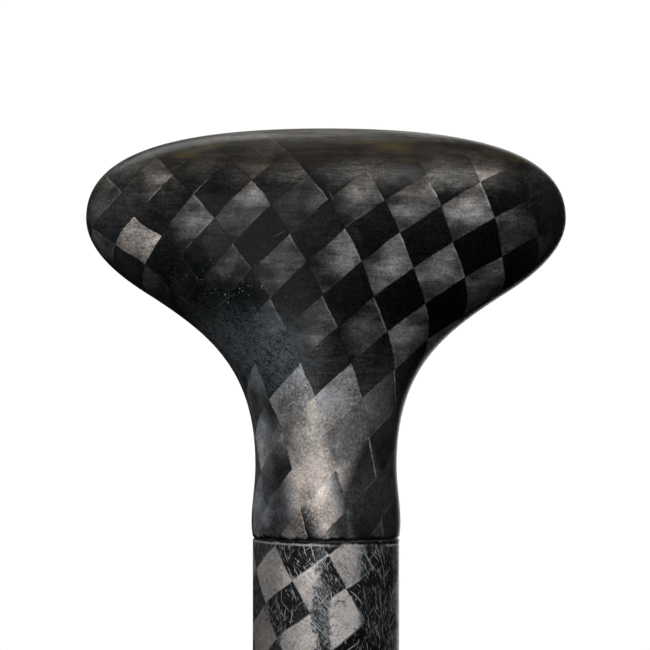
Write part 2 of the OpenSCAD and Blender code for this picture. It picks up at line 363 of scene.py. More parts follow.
# ---------------------------------------------------------------- blade
# half width and distance from the shaft along the blade's edge, in two curves
THROAT = np.array([(SHAFT_R, NECK_END), (SHAFT_R, 0.277 * BLADE_LENGTH), (BLADE_HALF, 0.351 * BLADE_LENGTH),
                   (BLADE_HALF, 0.68 * BLADE_LENGTH)])
TIP = np.array([(BLADE_HALF, 0.68 * BLADE_LENGTH), (BLADE_HALF, 0.883 * BLADE_LENGTH),
                (0.61 * BLADE_HALF, BLADE_LENGTH), (0, BLADE_LENGTH)])


def flatness(s):
    """0 in the round neck and 1 on the flat of the blade, at the distance s from the shaft."""
    return float(smooth((s - NECK_END) / (FLAT_END - NECK_END)))


def plate_half(s):
    """Half the thickness of the blade beside its ridge."""
    return mix(PLATE_HALF_TOP, PLATE_HALF_TIP, max(0, s - FLAT_END) / (BLADE_LENGTH - FLAT_END))


def half_thickness(x, q, s, side, inset):
    """How far a face is from the middle surface; q is x over the half width; inset 1 is under the skin."""
    flat = flatness(s)
    wall = mix(NECK_WALL, SKIN_WALL, flat)
    edge = (EDGE_HALF - inset * SKIN_WALL) * flat
    body = mix(SHAFT_R, plate_half(s), flat) - inset * wall
    ridge = float(smooth((s - NECK_END) / RIDGE_RISE_LENGTH)
                  * (1 - smooth((s - RIDGE_FADE_START) / RIDGE_FADE_LENGTH)))
    rise = RIDGE_FRONT if side < 0 else RIDGE_BACK
    return (edge + (body - edge) * np.sqrt(np.maximum(0, 1 - np.minimum(1, np.abs(q)) ** mix(2, 4, flat)))
            + rise * ridge * np.exp(-(x / RIDGE_HALF_WIDTH) ** 2) * (1 - np.minimum(1, q * q)))


def on_blade(x, y, s):
    """Puts a point of the straight blade where the bend and the swept-back edges carry it."""
    turn = BLADE_ANGLE * min(1, max(0, (s - NECK_END) / (BEND_END - NECK_END)))
    after = max(0, s - BEND_END)
    t = y + DIHEDRAL * (x / BLADE_HALF) ** 2 * flatness(s)
    along = BEND_RADIUS * (1 - math.cos(turn)) + after * math.sin(turn)
    down = min(s, NECK_END) + BEND_RADIUS * math.sin(turn) + after * math.cos(turn)
    return np.stack([x, along + t * math.cos(turn), -SHAFT_LENGTH - down + t * math.sin(turn)], axis=-1)


def blade_stations(tip_steps):
    """Half width, distance from the shaft, and how squarely the edge faces sideways, station by station."""
    out = [(SHAFT_R, mix(SEAM_GAP, NECK_END, i / NECK_STEPS), 1.0) for i in range(NECK_STEPS)]
    for curve, count, ease in ((THROAT, THROAT_STEPS, 1), (TIP, tip_steps, 1.2)):
        for i in range(count):
            u = 1 - (1 - i / count) ** ease
            p, d = bezier(curve, u), heading(curve, u)
            out.append((p[0], p[1], d[1]))
    return out + [(0.0, BLADE_LENGTH, 0.0)]


def columns_at(b, s, count):
    """Where the columns of the mesh stand across the blade, from -1 to 1."""
    t = np.linspace(-1, 1, count + 1)
    if b == 0:
        return np.ones_like(t)
    return mix(np.sin(t * math.pi / 2), signed_power(t, 1.6), flatness(s))


def make_blade(side, name, node):
    """One face of the blade, neck included; side is -1 on the power face and 1 on the back."""
    outer, inner, lie = [], [], []
    for b, s, _ in blade_stations(TIP_STEPS):
        q = columns_at(b, s, BLADE_COLUMNS)
        row = on_blade(b * q, side * half_thickness(b * q, q, s, side, 0), s)
        under = b - mix(NECK_WALL, SKIN_WALL, flatness(s)) * (1 - flatness(s))
        inner.append(on_blade(under * q, side * half_thickness(under * q, q, s, side, 1), s))
        outer.append(row)
        arc = arc_from_middle(row) / MM
        facing = arc if side < 0 else -arc
        lie.append([(across, -s / MM) for across in facing])
    lie = np.array(lie)
    weave = np.array([blade_lattice(*p) for p in lie.reshape(-1, 2)])
    obj = sheet_object(name, np.array(outer), np.array(inner), weave, lie)
    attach(obj, "root")
    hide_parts(node)
    return obj


blade_power = make_blade(-1, "blade_power_cloth", "blade_power_skin")
blade_back = make_blade(1, "blade_back_cloth", "blade_back_skin")


RAIL_CLEARANCE, RAIL_BULGE = 0.02 * MM, 0.12 * MM


def make_rail():
    """The solid rail between the two skins, its outer face a little rounded."""
    stations = [p for p in blade_stations(RAIL_TIP_STEPS) if p[1] > NECK_END]
    rings = []
    for hand in (1, -1):
        part = []
        for b, s, n in stations:
            width = min(EDGE_WIDTH / max(0.05, n), 0.9 * b)
            corners = []
            for x, side in ((b, -1), (b - width, -1), (b - width, 1), (b, 1)):
                q = 1.0 if b == 0 else x / b
                y = side * (half_thickness(hand * x, q, s, side, 1) - RAIL_CLEARANCE)
                corners.append(on_blade(np.array(hand * x), np.array(y), s))
            bulge = on_blade(np.array(hand * b), np.array(0.0), s)
            corners.append(bulge + Vector((hand * n, 0, -math.sqrt(max(0, 1 - n * n)))) * RAIL_BULGE)
            part.append(np.array([np.array(c) for c in corners]))
        rings += part if hand > 0 else part[::-1][1:]
    m = len(rings[0])
    verts = np.concatenate(rings)
    faces = []
    for r in range(len(rings) - 1):
        for j in range(m):
            k = (j + 1) % m
            faces.append((r * m + j, r * m + k, (r + 1) * m + k, (r + 1) * m + j))
    for r in (0, len(rings) - 1):
        faces.append(tuple(r * m + j for j in range(m)))
    lie = [(verts[i][0] / MM, verts[i][2] / MM) for f in faces for i in f]
    obj = make_object("blade_edge", verts, faces, lie, lie)
    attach(obj, "root")
    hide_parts("blade_edge_rail")
    return obj


rail = make_rail()


# ---------------------------------------------------------------- materials
class Graph:
    """A short way to write a material's nodes."""

    def __init__(self, name):
        self.material = bpy.data.materials.new(name)
        self.material.use_nodes = True
        self.tree = self.material.node_tree
        self.tree.nodes.clear()
        out = self.tree.nodes.new("ShaderNodeOutputMaterial")
        self.shader = self.tree.nodes.new("ShaderNodeBsdfPrincipled")
        self.tree.links.new(self.shader.outputs[0], out.inputs[0])

    def put(self, socket, value):
        """Links a socket to another, or gives it a fixed value."""
        if isinstance(value, bpy.types.NodeSocket):
            self.tree.links.new(value, socket)
        elif value is not None:
            socket.default_value = value

    def node(self, kind, *values, **settings):
        made = self.tree.nodes.new("ShaderNode" + kind)
        for name, value in settings.items():
            setattr(made, name, value)
        for socket, value in zip(made.inputs, values):
            self.put(socket, value)
        return made

    def math(self, operation, *values):
        return self.node("Math", *values, operation=operation).outputs[0]

    def add(self, first, *rest):
        for value in rest:
            first = self.math("ADD", first, value)
        return first

    def mul(self, first, *rest):
        for value in rest:
            first = self.math("MULTIPLY", first, value)
        return first

    def sub(self, a, b):
        return self.math("SUBTRACT", a, b)

    def most(self, a, b):
        return self.math("MAXIMUM", a, b)

    def least(self, a, b):
        return self.math("MINIMUM", a, b)

    def far(self, value, centre):
        """How far the value is from a centre."""
        return self.math("ABSOLUTE", self.sub(value, centre))

    def ramp(self, value, low, high, to_low=0.0, to_high=1.0):
        """An eased step from to_low, where the value is low, to to_high, where it is high."""
        eased = self.node("MapRange", value, low, high, to_low, to_high, interpolation_type="SMOOTHSTEP")
        return eased.outputs[0]

    def band(self, value, centre, outer, inner):
        """1 within inner of the centre, falling to 0 at outer, or the other way round if outer is less."""
        return self.ramp(self.far(value, centre), outer, inner)

    def swing(self, noise, amount):
        """1 plus the noise's swing about its middle."""
        return self.add(1.0, self.mul(self.sub(noise, 0.5), 2 * amount))

    def uneven(self, value, noise, size):
        """The value with the noise's swing about its middle added, so that a ramp of it has a ragged edge."""
        return self.add(value, self.mul(self.sub(noise, 0.5), size))

    def mix(self, t, a, b):
        """Mixes two numbers; the node keeps them in its sockets 2 and 3."""
        made = self.node("Mix", data_type="FLOAT")
        for i, value in zip((0, 2, 3), (t, a, b)):
            self.put(made.inputs[i], value)
        return made.outputs[0]

    def tint(self, t, a, b, kind="MIX"):
        """Mixes two colours, each a socket or three numbers; the node keeps them in its sockets 6 and 7."""
        made = self.node("Mix", data_type="RGBA", blend_type=kind)
        for i, value in zip((0, 6, 7), (t, a, b)):
            self.put(made.inputs[i], (*value, 1.0) if isinstance(value, tuple) else value)
        return made.outputs[2]

    def times(self, a, b):
        return self.tint(1.0, a, b, "MULTIPLY")

    def vector(self, x, y, z=0.0):
        return self.node("CombineXYZ", x, y, z).outputs[0]

    def grey(self, tone):
        return self.vector(tone, tone, tone)

    def split(self, vector):
        return self.node("SeparateXYZ", vector).outputs

    def attribute(self, name):
        return self.split(self.node("Attribute", attribute_name=name).outputs["Vector"])

    def noise(self, vector, scale=1.0, detail=2.0, rough=0.5):
        made = self.node("TexNoise", noise_dimensions="3D")
        for name, value in (("Vector", vector), ("Scale", scale), ("Detail", detail), ("Roughness", rough)):
            self.put(made.inputs[name], value)
        return made.outputs["Fac"]

    def random(self, value):
        """Three random numbers that depend only on the value."""
        made = self.node("TexWhiteNoise", noise_dimensions="1D")
        self.put(made.inputs["W"], value)
        return self.node("SeparateColor", made.outputs["Color"]).outputs

    def bump(self, height, strength, distance):
        made = self.node("Bump")
        self.put(made.inputs["Height"], height)
        made.inputs["Strength"].default_value = strength
        made.inputs["Distance"].default_value = distance
        return made.outputs[0]

    def place(self):
        """Where the point is on the object, in mm."""
        made = self.node("VectorMath", operation="SCALE")
        self.put(made.inputs[0], self.node("TexCoord").outputs["Object"])
        made.inputs["Scale"].default_value = 1 / MM
        return made.outputs[0]

    def turned(self, spot, turn, size, shift=0.0):
        """The place in a frame turned about the depth axis (degrees), where one unit is size mm.

        shift, and the fixed 5 and 3 beside it, only choose which part of a noise is seen.
        """
        made = self.node("Mapping", vector_type="TEXTURE")
        self.put(made.inputs["Vector"], spot)
        made.inputs["Location"].default_value = (shift, 5.0, 3.0)
        made.inputs["Rotation"].default_value = (0, math.radians(turn), 0)
        made.inputs["Scale"].default_value = size
        return made.outputs[0]

    def finish(self, colour, roughness, normal=None, **fixed):
        """Feeds the shader, with what is the same all over set on its own sockets."""
        self.put(self.shader.inputs["Base Color"], colour)
        self.put(self.shader.inputs["Roughness"], roughness)
        self.put(self.shader.inputs["Normal"], normal)
        for name, value in fixed.items():
            self.shader.inputs[name.replace("_", " ")].default_value = value
        return self.material


def scratches(g, flat, turns, length, width, rare):
    """Straight fine scratches on the unrolled surface, one set for each direction in turns (degrees)."""
    found = None
    for i, turn in enumerate(turns):
        line = g.noise(g.turned(flat, turn, (length, 1.0, width), 17.0 * i), 1.0, 1.0, 0.6)
        line = g.ramp(line, rare, rare + 0.06)
        found = line if found is None else g.most(found, line)
    return found


# which random tones the crossings get
WEAVE_SEED = 1.0
DARK_EDGES = (0.25, 0.25, 0.25, 1.0)
COOL, WARM = (0.92, 0.99, 1.08), (1.07, 0.99, 0.94)
SMEAR = (0.006, 0.006, 0.007)
# how far one step of each set of tows goes along the drape on the neck, in mm
NECK_STEP_A, NECK_STEP_B = 5.92, -5.52


class Cloth:
    """The tows of a spread-tow carbon cloth: which one is on top, and where a point is on it.

    u and v are the distances across and along the unrolled surface, and x, y and z the place, all in mm.
    """

    def __init__(self, g, grain, mottle, patch):
        spot = g.place()
        drift = [g.noise(g.node("VectorMath", spot, (30.0 * i, 0, 0), operation="ADD").outputs[0], 0.11, 1.0)
                 for i in range(2)]
        frayed = g.noise(spot, 1.3, 2.0)
        a, b = [g.add(v, g.mul(g.sub(d, 0.5), 0.20), g.mul(g.sub(frayed, 0.5), 0.035))
                for v, d in zip(g.attribute("weave"), drift)]
        self.in_a, self.in_b = g.math("FRACT", a), g.math("FRACT", b)
        self.row, self.column = g.math("FLOOR", a), g.math("FLOOR", b)
        self.odd = g.math("FLOORED_MODULO", g.add(self.row, self.column), 2.0)
        self.even = g.sub(1.0, self.odd)
        # three random numbers for each crossing, the same on both sides of the sleeve's join, where 7 rows
        # and 9 columns have gone by
        self.chance = g.random(g.add(g.sub(g.mul(self.row, 9.0), g.mul(self.column, 7.0)), WEAVE_SEED))
        edge_a = g.least(self.in_a, g.sub(1.0, self.in_a))
        edge_b = g.least(self.in_b, g.sub(1.0, self.in_b))
        self.border = g.least(edge_a, edge_b)
        self.spot = spot
        self.x, self.y, self.z = g.split(spot)
        self.u, self.v, _ = g.attribute("lie")
        self.grain, self.mottle, self.patch = [g.noise(spot, *look) for look in (grain, mottle, patch)]
        self.paint_sheen_and_brushing(g)

    def paint_sheen_and_brushing(self, g):
        """How a tow's look varies on each crossing: bands of painted sheen, brushing, and a painted slope
        from light to shade.
        """
        r1, r2, r3 = self.chance
        u, v = self.u, self.v
        seed = g.mul(r1, 40.0)
        wave = g.mul(g.noise(g.vector(g.mul(u, 0.12), g.mul(v, 0.3), seed), 1.0, 1.0), 3.0)
        self.painted_sheen = g.noise(g.vector(g.mul(u, 0.10), g.mul(g.add(v, wave), 0.32), seed), 1.0, 1.0)
        brushed = g.vector(g.mul(u, 0.30), g.mul(g.add(v, g.mul(wave, 0.5)), 2.3), seed)
        self.brush = g.noise(brushed, 1.0, 3.0, 0.75)
        # slope: a painted gradient of light and shade across each crossing, which also bends the painted
        # highlights
        self.slope = g.add(g.mul(g.sub(self.in_a, 0.5), g.sub(r2, 0.5)),
                           g.mul(g.sub(self.in_b, 0.5), g.sub(r3, 0.5)))

    def height(self, g, brush, grain):
        """Height for the bump: brushed tows, grain, and a step at each tow's edge."""
        step = g.mul(g.ramp(self.border, 0.0, 0.06), 0.6)
        return g.add(g.mul(self.brush, brush), g.mul(self.grain, grain), step)


# ---------------------------------------------------------------- the grip's cloth
def neck_painted_highlight(g, c):
    """How far a crossing belongs to the neck, and the painted highlight that each set of tows has down its
    middle.
    """
    z = c.z
    # the crossing as a whole is judged by where its middle lies along the drape
    level = g.add(c.v, g.mul(g.sub(c.in_a, 0.5), NECK_STEP_A), g.mul(g.sub(c.in_b, 0.5), NECK_STEP_B))
    low = g.ramp(level, 34.5, 29.5)
    # each crossing's painted slope shifts the painted highlight, so its edges break at the tow borders
    bent = g.add(c.u, g.mul(c.slope, 16.0))
    light_middle = g.ramp(z, 3.0, 10.0, -1.0, -3.0)
    light_reach = g.add(g.ramp(z, 3.0, 10.0, 6.0, 9.0), g.ramp(z, 18.0, 28.0, 0.0, 6.0))
    light_tows_painted_highlight = g.ramp(g.far(bent, light_middle), light_reach, 1.0)
    dark_middle = g.ramp(z, 8.0, 20.0, -1.0, -3.5)
    dark_tows_painted_highlight = g.ramp(g.far(bent, dark_middle), g.ramp(z, 3.0, 20.0, 7.0, 13.0), 1.0)
    return low, light_tows_painted_highlight, dark_tows_painted_highlight


def head_tows(g, c, painted_shade_wing_end):
    """The two sets of tows on the head: how bright the light one and the dark one are."""
    u, v, z = c.u, c.v, c.z
    r1 = c.chance[0]
    # a painted highlight on the light tows high on the right wing
    shine = g.mul(g.band(u, 20.0, 25.0, 4.0), g.band(v, 68.0, 13.0, 3.0))
    # painted light on the light tows low on the right of the head
    under = g.mul(g.ramp(u, 2.0, 14.0), g.ramp(v, 62.0, 50.0), g.ramp(z, 30.0, 36.0))
    # painted shade on the light tows towards the wing's end, and on the left each light tow painted lighter
    # towards one edge
    light = g.mul(0.062, g.add(1.0, g.mul(shine, 1.5), g.mul(under, 1.7)), g.sub(1.0, g.mul(painted_shade_wing_end, 0.80)),
                  g.add(1.0, g.ramp(u, 6.0, -26.0, 0.0, 0.22)),
                  g.mix(g.ramp(u, 14.0, 0.0), 1.0, g.add(0.40, g.mul(c.in_b, 1.1))))
    dark = g.mul(g.ramp(u, -8.0, 14.0, 0.009, 0.0040), g.mix(r1, 0.4, 1.6))
    dark = g.add(dark, g.mul(g.band(u, 6.0, 20.0, 8.0), g.ramp(z, 46.0, 36.0), 0.026))
    return light, dark


def neck_tows(g, c, light_tows_painted_highlight, dark_tows_painted_highlight):
    """The same two sets on the neck: a painted highlight down the middle, painted shade beside it, and
    painted lighter patches towards the sides.
    """
    u, z = c.u, c.z
    side = g.mul(g.ramp(u, 4.0, 8.0), g.ramp(u, 17.0, 12.0), g.ramp(z, 20.0, 25.0))
    side = g.most(g.ramp(u, -10.0, -14.0), side)
    side = g.most(side, g.mul(g.ramp(u, -3.0, -6.0), g.ramp(z, 9.0, 4.0)))
    side_light = g.mix(side, 0.045, g.ramp(z, 3.0, 8.0, 0.34, 0.14))
    light = g.mix(light_tows_painted_highlight, side_light, g.ramp(z, 3.0, 9.0, 0.14, 0.40))
    side_dark = g.mix(g.ramp(u, -11.0, -15.0), g.ramp(u, -3.0, -7.0, 0.030, 0.085), 0.36)
    return light, g.mix(dark_tows_painted_highlight, side_dark, 0.46)


def grip_tone(g, c, low, light_tows_painted_highlight, dark_tows_painted_highlight):
    """How light or dark the grip is, before its colour, dust and wear."""
    u, v, z = c.u, c.v, c.z
    r1, r2, r3 = c.chance
    # painted shade towards the end of the right wing
    painted_shade_wing_end = g.ramp(g.add(u, g.mul(g.sub(v, 60.0), 0.25)), 30.0, 46.0)
    light, dark = head_tows(g, c, painted_shade_wing_end)
    neck_light, neck_dark = neck_tows(g, c, light_tows_painted_highlight, dark_tows_painted_highlight)
    light, dark = g.mix(low, light, neck_light), g.mix(low, dark, neck_dark)
    # the two halves of the neck meet in the same grey
    parting = g.mul(low, g.band(u, 0.0, 18.0, 22.0))
    light, dark = g.mix(parting, light, 0.10), g.mix(parting, dark, 0.07)
    # near the crown the dark tows are painted almost as light as the light ones, a painted reflection of the
    # room overhead
    crown = g.ramp(g.uneven(z, c.mottle, 5.0), 67.0, 73.0)
    dark = g.mix(g.mul(crown, g.mix(r2, 0.1, 0.9)), dark, g.mul(light, 0.8))

    # each crossing bulges, so a painted sheen gathers near its middle; with the painted sheen bands and
    # clouds it lightens the light tows, and the painted slope runs light to shade across each crossing
    streaks = g.vector(g.mul(u, 0.16), g.mul(v, 0.26), g.mul(c.even, 5.0))
    painted_sheen_cloud = g.ramp(g.noise(streaks, 1.0, 2.0), 0.46, 0.66)
    off_a, off_b = g.far(c.in_a, g.mix(r2, 0.30, 0.65)), g.far(c.in_b, g.mix(r3, 0.30, 0.65))
    bulge = g.ramp(g.add(off_a, off_b), 0.75, 0.10)
    painted_sheen_mix = g.add(0.30, g.ramp(c.painted_sheen, 0.36, 0.64, 0.0, 0.7), g.mul(painted_sheen_cloud, 0.6), g.mul(bulge, 0.6))
    light = g.mul(light, g.mix(low, g.mix(r1, 0.45, 1.20), 1.0),
                  g.mix(low, painted_sheen_mix, g.add(0.8, g.mul(c.painted_sheen, 0.4))),
                  g.mix(low, g.swing(c.brush, 0.95), 1.0), g.add(1.0, g.mul(c.slope, 1.3)))
    dark = g.mul(dark, g.add(0.5, c.painted_sheen), g.mix(low, g.swing(c.brush, 1.8), 1.0),
                 g.add(1.0, g.mul(c.slope, 1.9)))
    tone = g.mix(c.odd, light, dark)

    # the frayed edge of a light tow shows through beside it
    ghost = g.mul(c.odd, g.ramp(c.in_b, 0.24, 0.14), g.ramp(r3, 0.74, 0.78), g.sub(1.0, low))
    tone = g.mix(g.mul(ghost, 0.4), tone, g.mul(light, 0.5))

    # lines of light and shade where a tow ducks under the next
    broken = g.ramp(g.noise(c.spot, 0.22, 2.0), 0.40, 0.58)
    lit_b = g.mul(c.even, g.ramp(c.in_b, 0.950, 0.985), g.ramp(r2, 0.15, 0.45))
    lit_a = g.mul(c.even, g.ramp(c.in_a, 0.950, 0.985), g.add(0.25, g.ramp(u, -20.0, -26.0)))
    tone = g.mul(tone, g.ramp(c.border, 0.0, 0.035, g.mix(low, 0.55, 0.95), 1.0))
    tone = g.add(tone, g.mul(g.most(lit_a, lit_b), broken, g.sub(1.0, g.mul(painted_shade_wing_end, 0.8)),
                             g.mix(low, g.ramp(u, -4.0, 8.0, 0.10, 0.16), 0.30)))
    cloudy = g.mul(g.sub(c.patch, 0.5), g.ramp(u, 8.0, -4.0, 0.3, 1.6), 2.0)
    tone = g.mul(tone, g.swing(c.mottle, 0.9), g.swing(c.grain, 1.3), g.add(1.0, cloudy))
    tone = g.most(g.add(tone, g.mul(g.sub(c.grain, 0.42), 0.022)), 0.0008)

    # paler at both ends and low on one side
    haze = g.add(g.ramp(u, -34.0, -42.0, 0.0, 0.030),
                 g.mul(g.ramp(u, -16.0, -26.0), g.ramp(v, 64.0, 56.0), 0.009),
                 g.ramp(u, 38.0, 46.0, 0.0, 0.009))
    return g.add(tone, g.mul(haze, g.swing(c.mottle, 1.0), g.swing(c.grain, 1.5), g.sub(1.0, low)))


def grip_colour(g, c, tone, low, light_tows_painted_highlight, dark_tows_painted_highlight):
    """Gives the tone its warm and cool casts, and paints a highlight on one crossing near the end of a wing.
    """
    z = c.z
    # a painted highlight on one crossing near the end of a wing
    painted_glint_cell = g.mul(g.math("COMPARE", c.row, -5.0, 0.5), g.math("COMPARE", c.column, -5.0, 0.5))
    tone = g.mix(painted_glint_cell, tone, g.mul(0.48, g.swing(c.brush, 1.0), g.swing(c.grain, 1.6),
                                    g.swing(c.mottle, 1.0), g.add(1.0, c.slope)))
    # the painted highlights are tinted warm, as are some light tows at random
    painted_highlight_mask = g.mul(low, g.mix(c.odd, g.mul(light_tows_painted_highlight, g.ramp(z, 30.0, 20.0)), dark_tows_painted_highlight))
    warm = g.mix(g.most(painted_glint_cell, painted_highlight_mask), g.mul(c.even, c.chance[1], 0.6), 1.0)
    # warmer still where the painted highlight lies low on the neck
    cast = g.tint(g.mul(low, g.ramp(z, 20.0, 12.0)), (1.09, 0.99, 0.92), (1.15, 0.99, 0.90))
    base = g.times(g.grey(tone), g.tint(warm, (0.94, 0.99, 1.06), cast))
    # warmer towards the crown, the tint of a painted sheen there
    return g.tint(g.ramp(g.uneven(z, c.patch, 10.0), 62.0, 72.0), base, g.times(base, (1.10, 1.00, 0.88)))


def crown_resin_and_reflection(g, c, base):
    """A resin-rich band under the crown, its dark olive and ochre blotches a painted reflection of the room
    overhead, and a paler painted highlight along the top.
    """
    x, y, z = c.x, c.y, c.z
    rim = g.ramp(g.uneven(g.uneven(z, c.patch, 7.0), c.mottle, 4.0), 71.5, 75.5)
    band = g.noise(g.vector(g.mul(x, 0.06), g.mul(y, 0.30), g.mul(z, 0.7)), 1.0, 4.0, 0.75)
    reflection_blotch = g.noise(g.vector(g.mul(x, 0.05), g.mul(y, 0.10), g.mul(z, 0.22)), 1.0, 2.0)
    ochre = g.mul(g.ramp(reflection_blotch, 0.56, 0.72), g.ramp(z, 80.0, 77.5))
    resin = g.tint(g.ramp(band, 0.40, 0.75), (0.0035, 0.0025, 0.0015), (0.028, 0.024, 0.017))
    resin = g.tint(ochre, resin, (0.052, 0.036, 0.008))
    # the paler painted highlight along the top of the crown
    rubbed = g.tint(g.ramp(band, 0.35, 0.70), (0.070, 0.066, 0.058), (0.150, 0.144, 0.130))
    resin = g.tint(g.ramp(g.uneven(z, c.mottle, 2.0), 77.6, 80.4), resin, rubbed)
    return g.tint(g.mul(rim, 0.84), base, resin)


def wing_dust(g, c, base, flat):
    """Dust and salt low on one wing, with a blue-green cast."""
    u, v = c.u, c.v
    slanted = g.uneven(g.add(v, g.mul(u, 0.50)), c.mottle, 16.0)
    near = g.mul(g.band(g.uneven(u, c.patch, 14.0), -20.0, 19.0, 8.0), g.band(slanted, 33.0, 15.0, 5.0))
    veil = g.add(g.mul(g.noise(g.turned(flat, 40, (2.4, 1.0, 1.0)), 1.0, 5.0, 0.95), 0.5),
                 g.mul(g.noise(c.spot, 2.4, 3.0, 0.9), 0.5))
    bare = g.tint(g.ramp(v, 50.0, 38.0), (0.001, 0.001, 0.002), (0.016, 0.021, 0.024))
    dusted = g.tint(g.ramp(v, 50.0, 34.0), (0.008, 0.012, 0.014), (0.420, 0.470, 0.510))
    slate = g.tint(g.ramp(veil, 0.42, 0.56), bare, dusted)
    base = g.tint(g.mul(near, g.ramp(u, -24.0, -8.0, 0.72, 0.42)), base, slate)
    specks = g.ramp(g.noise(c.spot, 3.1, 2.0, 0.7), 0.64, 0.71)
    clump = g.ramp(g.noise(c.spot, 0.3, 3.0, 0.7), 0.50, 0.60)
    clump = g.most(clump, g.ramp(c.border, 0.09, 0.0))
    dusty = g.mul(g.band(u, -25.0, 22.0, 8.0), g.band(v, 46.0, 12.0, 3.0))
    return g.tint(g.mul(specks, g.add(0.01, g.mul(dusty, clump, 0.90))), base, (0.55, 0.62, 0.65))


def carbon_grip():
    """The grip's cloth: checks on the head, a painted highlight down the neck, worn and dusty in places."""
    g = Graph("grip_carbon")
    c = Cloth(g, grain=(2.2, 3.0, 0.8), mottle=(0.45, 4.0, 0.7), patch=(0.12, 2.0))
    flat = g.vector(c.u, 0.0, c.v)
    low, light_tows_painted_highlight, dark_tows_painted_highlight = neck_painted_highlight(g, c)
    tone = grip_tone(g, c, low, light_tows_painted_highlight, dark_tows_painted_highlight)
    base = grip_colour(g, c, tone, low, light_tows_painted_highlight, dark_tows_painted_highlight)
    base = crown_resin_and_reflection(g, c, base)
    base = wing_dust(g, c, base, flat)
    # painted glints scattered through the neck's painted highlight
    painted_glints = g.ramp(g.noise(c.spot, 1.9, 4.0, 0.85), 0.47, 0.68)
    base = g.tint(g.mul(low, g.mix(c.odd, light_tows_painted_highlight, dark_tows_painted_highlight), painted_glints, 0.75), base, (0.95, 0.90, 0.85))
    hairs = scratches(g, flat, (-28, 64, 84), 7.0, 0.30, 0.74)
    base = g.tint(g.mul(hairs, g.ramp(c.u, 0.0, 12.0, 0.22, 0.10)), base, (0.42, 0.42, 0.42))
    # the squeezed-out adhesive leaves a dark smear along the seam
    base = g.tint(g.ramp(g.uneven(c.z, c.mottle, 3.0), 1.3, 0.7), base, SMEAR)
    rough = g.uneven(g.uneven(0.50, c.grain, 0.35), c.mottle, 0.2)
    return g.finish(base, rough, g.bump(c.height(g, 0.5, 0.6), 0.40, 0.00005), Metallic=0.45,
                    Specular_IOR_Level=0.10, Specular_Tint=DARK_EDGES, Coat_Weight=0.08, Coat_Roughness=0.18)


# ---------------------------------------------------------------- the shaft's cloth
def seam_adhesive(g, c, base, seam):
    """A dark smear of adhesive beside a seam at height seam (mm), and a pale lip beyond it."""
    away = g.far(g.add(c.z, g.mul(c.x, 0.025)), seam)
    base = g.tint(g.ramp(g.uneven(away, c.mottle, 1.6), 0.45, 0.20), base, SMEAR)
    shown = g.most(g.ramp(g.noise(c.spot, 0.09, 1.0), 0.46, 0.58), g.ramp(c.x, 4.0, -4.0))
    lip = g.mul(g.band(g.uneven(away, c.mottle, 0.6), 0.62, 0.28, 0.08), shown, g.swing(c.grain, 1.5))
    return g.tint(g.mul(lip, 0.85), base, (0.44, 0.45, 0.46))


